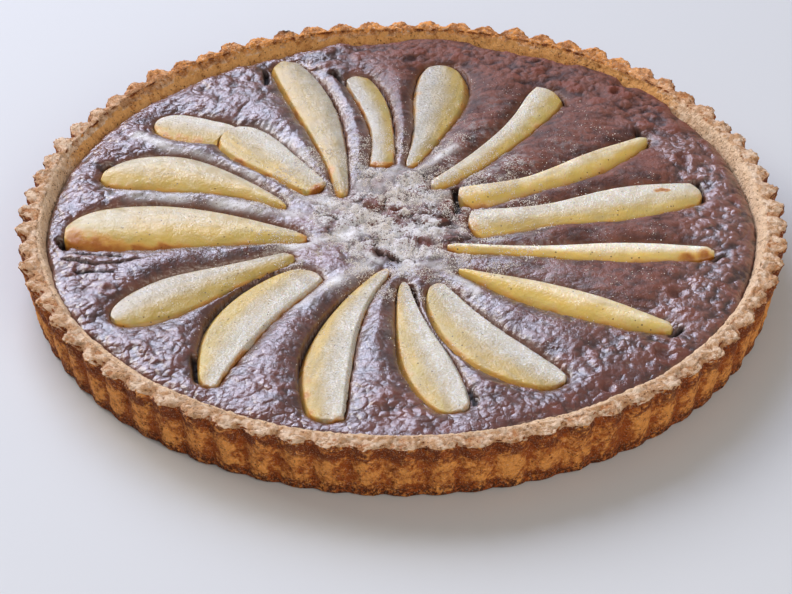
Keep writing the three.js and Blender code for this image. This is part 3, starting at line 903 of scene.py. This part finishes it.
# %% [markdown]
# ## Baked shortcrust
# Where the dough touched the tin it fried in its own butter, so the wall is golden on the ribs
# and browner in the valleys and along the foot. The valleys' brown is partly painted shade, the
# foot's dark is partly a painted contact shadow, and low crumbs are painted darker as shade. The
# rim's edge is the brownest, with a dark band under it that is partly scorching and partly a
# painted shadow of the rim. Its cut top is pale and floury, with flakes, dark pits and a few
# light crumbs; the pits, cracks and grooves are darkened as painted shade, and the inner slope
# away from the back is painted lighter as painted light.

# %% Finish of the case
PASTRY_GOLD = (0.92, 0.37, 0.085)
PASTRY_BROWN = (0.36, 0.078, 0.010)
PASTRY_DARK = (0.085, 0.022, 0.006)
PASTRY_SCORCHED_AND_SHADOW = (0.15, 0.032, 0.009)
PASTRY_TOAST_AND_SHADE = (0.47, 0.165, 0.038)
PASTRY_INNER = (0.95, 0.48, 0.16)
PASTRY_SANDY_PAINTED_LIGHT = (0.97, 0.68, 0.43)
PASTRY_PALE = (0.64, 0.36, 0.18)
PASTRY_FLOUR = (0.97, 0.73, 0.52)


def pastry_finish():
    finish, tree, shader, place = start_finish("baked_shortcrust")
    broad = mottle(tree, place, 16, 2)
    patchy = mottle(tree, place, 4.0, 4, 0.8)
    crumbly = mottle(tree, place, 1.3, 4, 0.5)
    fine = mottle(tree, place, 0.5, 2)
    rim, valley, up_wall = noted(tree, "rim"), noted(tree, "valley"), noted(tree, "up_wall")
    # The foot is darker: partly toasting and partly a painted contact shadow where the case
    # meets the floor.
    foot = minus(tree, 1.0, between(tree, up_wall, 0.0, 0.22))
    # Just under the rim the wall is browner: partly toasting and partly a painted shadow of the
    # rim.
    under_edge = between(tree, up_wall, 0.72, 1.0)
    # Valleys browner, partly as painted shade; low crumbs browner and high crumbs lighter, as
    # painted shade and light.
    browning = times(tree, valley, 0.65)
    for part, share in ((patchy, 0.8), (broad, 0.95), (foot, 0.4), (under_edge, 0.35),
                        (crumbly, 1.3), (noted(tree, "crumb"), -0.9)):
        browning = plus(tree, browning, times(tree, part, share))
    wall = blend_colour(tree, between(tree, browning, 0.85, 1.6), PASTRY_GOLD, PASTRY_BROWN)
    # A dark band just under the rim: partly scorched crust and partly a painted shadow of the
    # overhanging rim.
    scorched_and_shadow = times(tree, between(tree, up_wall, 0.74, 0.88), between(tree, plus(tree, patchy,
        times(tree, crumbly, 0.5)), 0.66, 0.8))
    wall = blend_colour(tree, times(tree, scorched_and_shadow, 0.75), wall, PASTRY_SCORCHED_AND_SHADOW)
    # Painted contact shadow along the foot, broken up by the crumb, with some dark toasting.
    wall = blend_colour(tree, times(tree, foot, between(tree, crumbly, 0.42, 0.58)), wall,
        PASTRY_DARK)
    top = blend_colour(tree, between(tree, patchy, 0.36, 0.6), PASTRY_FLOUR, PASTRY_PALE)
    # Painted shade: low crumbs and the flute valleys on the rim's top, darkened towards toasted
    # brown.
    hollow = minus(tree, 1.0, between(tree, noted(tree, "crumb"), 0.05, 0.45))
    hollow = times(tree, number(tree, "MAXIMUM", hollow, valley), 0.85)
    top = blend_colour(tree, hollow, top, PASTRY_TOAST_AND_SHADE)
    # Towards the back the rim's top is browner.
    top = blend_colour(tree, times(tree, noted(tree, "browner_at_back"), between(tree, crumbly, 0.3,
        0.5)), top, blend_colour(tree, between(tree, patchy, 0.4, 0.6), PASTRY_GOLD,
        PASTRY_TOAST_AND_SHADE))
    # Painted light: the inner slope away from the back faces away from the lamps, so it is
    # painted a lighter sandy colour to look as lit as the rim's top.
    top = blend_colour(tree, times(tree, noted(tree, "level"), 0.75), top, PASTRY_SANDY_PAINTED_LIGHT)
    inner = blend_colour(tree, between(tree, patchy, 0.46, 0.76), PASTRY_INNER, PASTRY_TOAST_AND_SHADE)
    colour = blend_colour(tree, noted(tree, "inner_wall"), wall, inner)
    top_share = between(tree, plus(tree, noted(tree, "top_face"), times(tree, crumbly, 0.6)),
        0.62, 0.95)
    colour = blend_colour(tree, top_share, colour, top)
    pale = times(tree, between(tree, fine, 0.55, 0.7), line(tree, rim, 0.25, 0.26))
    colour = blend_colour(tree, pale, colour, PASTRY_FLOUR)
    specks = minus(tree, 1.0, between(tree, speckle(tree, place, 1.5), 0.16, 0.3))
    specks = times(tree, specks, between(tree, patchy, 0.4, 0.56))
    # Pits and cracks darkened as painted shade; the specks are the crust's own dark dots.
    dark = number(tree, "MAXIMUM", times(tree, noted(tree, "pit"), 0.6), specks)
    dark = times(tree, dark, line(tree, rim, -0.25, 0.8))
    colour = blend_colour(tree, dark, colour, PASTRY_DARK)
    colour = blend_colour(tree, noted(tree, "burnt"), colour, (0.02, 0.008, 0.006))
    tree.links.new(colour, shader.inputs["Base Color"])
    shader.inputs["Roughness"].default_value = 0.78
    shader.inputs["Specular IOR Level"].default_value = 0.2
    height = plus(tree, crumbly, times(tree, patchy, 0.5))
    height = plus(tree, height, times(tree, fine, 0.35))
    relief(tree, shader, height, 1.5, 1.0)
    return finish


case_mesh.materials.append(pastry_finish())
print("case finish done")

# %% [markdown]
# ## Baked chocolate
# The filling has a thin skin, moist and shiny where it sank and duller where it puffed up most.
# Toward the right and back its brown is paler, partly as painted light, and its hollows,
# creases, gaps and the dips beside the fruit are darkened as painted shade. Icing sugar lies on
# the high spots in the middle as a broken powder, and shows up the wrinkles; the white drifts on
# the crests are partly a painted sheen.

# %% Finish of the filling
CHOCOLATE = (0.155, 0.042, 0.026)
CHOCOLATE_MILKY_AND_LIT = (0.215, 0.075, 0.048)
CHOCOLATE_DARK = (0.026, 0.007, 0.005)
CHOCOLATE_RED = (0.21, 0.050, 0.025)
CHOCOLATE_SYRUP = (0.24, 0.070, 0.018)
ICING_SUGAR = (0.86, 0.84, 0.83)


def chocolate_finish():
    finish, tree, shader, place = start_finish("baked_chocolate")
    broad = mottle(tree, place, 13, 3)
    patchy = mottle(tree, place, 2.8, 4, 0.4)
    grainy = mottle(tree, place, 0.75, 3)
    scaly = speckle(tree, place, 1.9, "SMOOTH_F1")
    moved = wavy(tree, place, 5, 2.4)
    domed = speckle(tree, moved, 3.3)
    # Painted shade in the creases between the small domes.
    crease = minus(tree, 1.0, between(tree, speckle(tree, moved, 3.3, "DISTANCE_TO_EDGE"), 0.0,
        0.13))
    crease = times(tree, crease, between(tree, patchy, 0.4, 0.6))
    # Paler towards the right and back, partly painted light.
    milky_and_lit = plus(tree, times(tree, noted(tree, "milky_and_lit"), 0.75), times(tree, broad, 0.5))
    colour = blend_colour(tree, between(tree, milky_and_lit, 0.2, 1.0), CHOCOLATE, CHOCOLATE_MILKY_AND_LIT)
    # Painted shade: low places and the dips beside the fruit are darkened.
    hollow = minus(tree, 1.0, between(tree, noted(tree, "ridge"), 0.25, 0.62))
    colour = blend_colour(tree, times(tree, hollow, 0.85), colour, CHOCOLATE_DARK)
    colour = blend_colour(tree, times(tree, between(tree, patchy, 0.55, 0.72), 0.35), colour,
        CHOCOLATE_DARK)
    # Painted shade in the creases.
    colour = blend_colour(tree, times(tree, crease, 0.5), colour, CHOCOLATE_DARK)
    colour = blend_colour(tree, times(tree, noted(tree, "warm"), 0.75), colour, CHOCOLATE_RED)
    colour = blend_colour(tree, times(tree, noted(tree, "syrup"), 0.6), colour,
        CHOCOLATE_SYRUP)
    # Painted shade: gaps, holes and the steepest dips beside the fruit are made nearly black.
    colour = blend_colour(tree, noted(tree, "dark"), colour, (0.008, 0.003, 0.002))
    sugar = noted(tree, "sugar")
    powder = times(tree, sugar, between(tree, patchy, 0.44, 0.64))
    powder = times(tree, powder, 0.6)
    grains = between(tree, plus(tree, times(tree, sugar, 0.34), grainy), 0.72, 0.82)
    powder = number(tree, "MAXIMUM", powder, times(tree, grains, 0.8))
    # Drifts: white, partly sugar and partly a painted sheen.
    powder = number(tree, "MAXIMUM", powder, times(tree, times(tree, noted(tree, "drift"),
        between(tree, grainy, 0.27, 0.45)), 0.95))
    colour = blend_colour(tree, powder, colour, ICING_SUGAR)
    tree.links.new(colour, shader.inputs["Base Color"])
    dull = minus(tree, 0.52, times(tree, noted(tree, "gloss"), 0.2))
    dull = plus(tree, dull, times(tree, broad, 0.14))
    dull = plus(tree, dull, times(tree, powder, 0.4))
    tree.links.new(dull, shader.inputs["Roughness"])
    shader.inputs["Specular IOR Level"].default_value = 0.32
    film = minus(tree, noted(tree, "gloss"), times(tree, powder, 1.2))
    film = between(tree, plus(tree, film, times(tree, broad, 0.3)), 0.15, 1.0)
    tree.links.new(film, shader.inputs["Coat Weight"])
    shader.inputs["Coat Roughness"].default_value = 0.22
    shader.inputs["Coat IOR"].default_value = 1.7
    rough = minus(tree, 1.0, noted(tree, "gloss"))
    ring = noted(tree, "ring")
    dome = times(tree, domed, domed)
    bubbly = times(tree, ring, line(tree, between(tree, broad, 0.42, 0.6), -0.8, -0.25))
    height = times(tree, dome, minus(tree, bubbly, 0.4))
    height = minus(tree, height, times(tree, times(tree, scaly, scaly), 0.35))
    height = plus(tree, height, times(tree, patchy, line(tree, rough, 0.6, 0.3)))
    height = plus(tree, height, times(tree, grainy, line(tree, rough, 0.3, 0.05)))
    height = plus(tree, height, times(tree, mottle(tree, place, 1.4, 3, 0.8, 0.65), 0.45))
    relief(tree, shader, height, 0.85, 0.75)
    tree.links.new(shader.inputs["Normal"].links[0].from_socket, shader.inputs["Coat Normal"])
    return finish


filling_mesh.materials.append(chocolate_finish())
print("filling finish done")

# %% [markdown]
# ## Cooked pear
# Cooked pear is moist and lets light in, so it has some subsurface scattering. The cut face is
# ivory and faintly gritty, paler on its cut side partly as a painted sheen, and dotted with
# painted white glints; the outer flesh is straw yellow, and juice from the filling has browned
# the edges. Each slice is made brighter or darker, partly as painted light and shade. Tiny dark
# specks of chocolate and fine sugar lie on it.

# %% Finish of the slices
PEAR_IVORY = (0.67, 0.50, 0.22)
PEAR_PALE = (0.83, 0.78, 0.67)
PEAR_GLINT = (0.95, 0.94, 0.92)
PEAR_STRAW = (0.80, 0.55, 0.13)
PEAR_GREEN = (0.68, 0.52, 0.15)
PEAR_AMBER = (0.70, 0.34, 0.06)
PEAR_BROWN = (0.38, 0.105, 0.008)


def pear_finish():
    finish, tree, shader, place = start_finish("cooked_pear")
    broad = mottle(tree, place, 22, 2)
    cloudy = mottle(tree, place, 6, 3)
    gritty = mottle(tree, place, 0.9, 3)
    yellow = blend_colour(tree, between(tree, broad, 0.4, 0.7), PEAR_STRAW, PEAR_GREEN)
    golden = between(tree, plus(tree, noted(tree, "golden"), times(tree, minus(tree, cloudy,
        0.5), 0.45)), 0.0, 1.0)
    colour = blend_colour(tree, golden, PEAR_IVORY, yellow)
    # Paler cut side: partly its own flesh and partly a painted sheen.
    colour = blend_colour(tree, times(tree, noted(tree, "pale"), 0.88), colour, PEAR_PALE)
    grit = times(tree, between(tree, gritty, 0.5, 0.68), noted(tree, "grain"))
    colour = blend_colour(tree, times(tree, grit, 0.25), colour, (0.50, 0.38, 0.20))
    # Painted glints: tiny white specks on the gritty cut face stand in for the sparkle of wet
    # grain.
    painted_glints = times(tree, times(tree, between(tree, mottle(tree, place, 0.8, 3), 0.5, 0.62),
        noted(tree, "pale")), noted(tree, "grain"))
    colour = blend_colour(tree, times(tree, painted_glints, 0.9), colour, PEAR_GLINT)
    burn = times(tree, noted(tree, "stain"), line(tree, cloudy, 1.1, 0.4))
    # Each slice's brightness factor: partly its own tone and partly painted light and shade.
    colour = blend_colour(tree, 1.0, colour, add(tree, "CombineColor", { i: noted(tree,
        "light") for i in range(3)}).outputs[0], "MULTIPLY")
    colour = blend_colour(tree, times(tree, noted(tree, "amber"), 0.55), colour, PEAR_AMBER)
    colour = blend_colour(tree, times(tree, between(tree, burn, 0.0, 0.6), 0.75), colour,
        PEAR_AMBER)
    colour = blend_colour(tree, between(tree, burn, 0.25, 1.25), colour, PEAR_BROWN)
    dots = minus(tree, 1.0, between(tree, speckle(tree, place, 2.9), 0.08, 0.15))
    dots = times(tree, dots, between(tree, line(tree, noted(tree, "belly"), 0.08, cloudy),
        0.47, 0.56))
    colour = blend_colour(tree, times(tree, dots, 0.9), colour, (0.10, 0.045, 0.015))
    dust = minus(tree, 1.0, between(tree, speckle(tree, place, 1.15), 0.16, 0.3))
    dust = times(tree, dust, between(tree, plus(tree, noted(tree, "sugar"), times(tree, cloudy,
        0.6)), 0.62, 0.95))
    colour = blend_colour(tree, dust, colour, ICING_SUGAR)
    tree.links.new(colour, shader.inputs["Base Color"])
    wet = line(tree, cloudy, 0.3, 0.17)
    wet = plus(tree, wet, times(tree, dust, 0.3))
    wet = minus(tree, wet, times(tree, times(tree, noted(tree, "pale"), noted(tree, "grain")),
        0.2))
    tree.links.new(wet, shader.inputs["Roughness"])
    shader.inputs["Specular IOR Level"].default_value = 0.5
    shader.inputs["Subsurface Weight"].default_value = 0.6
    shader.inputs["Subsurface Radius"].default_value = (1.0, 0.72, 0.38)
    shader.inputs["Subsurface Scale"].default_value = 0.0022
    height = times(tree, gritty, line(tree, noted(tree, "grain"), 1.3, 0.12))
    relief(tree, shader, plus(tree, height, cloudy), 0.6, 1.0)
    return finish


flesh_finish = pear_finish()
for piece in slices:
    piece.data.materials.append(flesh_finish)
print("pear finish done")

# %% [markdown]
# ## Icing sugar
# The finest powder is in the filling's finish, but the sugar also lies as tiny lumps that catch
# the light. They are scattered as real grains: seeded random places on the top, thickest in
# the middle, each with one small faceted crystal lump that Geometry Nodes puts there and turns.

# %% Scatter the sugar
GRAINS, FINE_GRAINS = 7000, 20000
rng = np.random.default_rng(7)


def grain_points(count):
    """Places for grains on the filling and the fruit, thickest in the middle."""
    surfaces = [chocolate_filling] + slices
    trees = []
    for piece in surfaces:
        body = bmesh.new()
        body.from_mesh(piece.data)
        trees.append(BVHTree.FromBMesh(body))
        body.free()
    places = []
    while len(places) < count:
        away = 60 * rng.random() ** 0.72
        if rng.random() < 0.11:
            away = 50 + 62 * rng.random()
        turn = 2 * math.pi * rng.random()
        x, y = away * math.cos(turn), away * math.sin(turn)
        chance = 0.28 + 1.9 * noise.noise(Vector((x, y, 4)) / 9) + 1.3 * noise.noise(
            Vector((x, y, 9)) / 3.2)
        chance -= sum(math.exp(-((x - u) ** 2 + (y - v) ** 2) / reach ** 2)
                      for u, v, reach in BARE)
        if rng.random() > chance:
            continue
        hits = [tree.ray_cast(Vector((x, y, 60)) * MM, Vector((0, 0, -1)))[0]
                for tree in trees]
        top = max(hit.z for hit in hits if hit)
        places.append((x * MM, y * MM, top + 0.00008))
    return places


grain_mesh = bpy.data.meshes.new("sugar_places")
grain_mesh.from_pydata(grain_points(GRAINS), [], [])
dust_mesh = bpy.data.meshes.new("dust_places")
dust_mesh.from_pydata(grain_points(FINE_GRAINS), [], [])
print("grain places:", len(grain_mesh.vertices), "and", len(dust_mesh.vertices))


# %% Turn the places into grains
def scatter_nodes(crystal_kind, settings):
    tree = bpy.data.node_groups.new("sugar_scatter", "GeometryNodeTree")
    tree.interface.new_socket("Geometry", in_out="INPUT", socket_type="NodeSocketGeometry")
    tree.interface.new_socket("Geometry", in_out="OUTPUT", socket_type="NodeSocketGeometry")
    entry, leave = tree.nodes.new("NodeGroupInput"), tree.nodes.new("NodeGroupOutput")
    points = tree.nodes.new("GeometryNodeMeshToPoints")
    crystal = tree.nodes.new("GeometryNodeMesh" + crystal_kind)
    for socket, value in settings.items():
        crystal.inputs[socket].default_value = value
    turn = tree.nodes.new("FunctionNodeRandomValue")
    turn.data_type = "FLOAT_VECTOR"
    turn.inputs["Max"].default_value = (6.28, 6.28, 6.28)
    size = tree.nodes.new("FunctionNodeRandomValue")
    size.data_type = "FLOAT_VECTOR"
    size.inputs["Min"].default_value = (0.45, 0.45, 0.35)
    size.inputs["Max"].default_value = (1.35, 1.35, 1.0)
    size.inputs["Seed"].default_value = 3
    place = tree.nodes.new("GeometryNodeInstanceOnPoints")
    real = tree.nodes.new("GeometryNodeRealizeInstances")
    for source, target in (
            (entry.outputs[0], points.inputs[0]), (points.outputs[0], place.inputs["Points"]),
            (crystal.outputs["Mesh"], place.inputs["Instance"]),
            (turn.outputs["Value"], place.inputs["Rotation"]),
            (size.outputs["Value"], place.inputs["Scale"]),
            (place.outputs[0], real.inputs[0]), (real.outputs[0], leave.inputs[0])):
        tree.links.new(source, target)
    return tree


def realised(mesh, nodes, name):
    holder = bpy.data.objects.new("holder", mesh)
    bpy.context.scene.collection.objects.link(holder)
    holder.modifiers.new("scatter", "NODES").node_group = nodes
    seen = holder.evaluated_get(bpy.context.evaluated_depsgraph_get())
    made = bpy.data.meshes.new_from_object(seen)
    made.name = name
    bpy.data.objects.remove(holder)
    return made


sugar_mesh = realised(grain_mesh, scatter_nodes(
    "IcoSphere", {"Radius": 0.24 * MM, "Subdivisions": 1}), "icing_sugar")
fine_mesh = realised(dust_mesh, scatter_nodes(
    "UVSphere", {"Radius": 0.17 * MM, "Segments": 4, "Rings": 2}), "icing_sugar_dust")


def sugar_finish():
    finish, tree, shader, place = start_finish("icing_sugar")
    colour = blend_colour(tree, mottle(tree, place, 6, 2), (0.84, 0.72, 0.58),
                          (0.96, 0.94, 0.93))
    tree.links.new(colour, shader.inputs["Base Color"])
    shader.inputs["Roughness"].default_value = 0.6
    return finish


powder_finish = sugar_finish()
for powder_mesh in (sugar_mesh, fine_mesh):
    powder_mesh.materials.clear()
    powder_mesh.materials.append(powder_finish)
    new_piece(powder_mesh.name, powder_mesh, "filling")
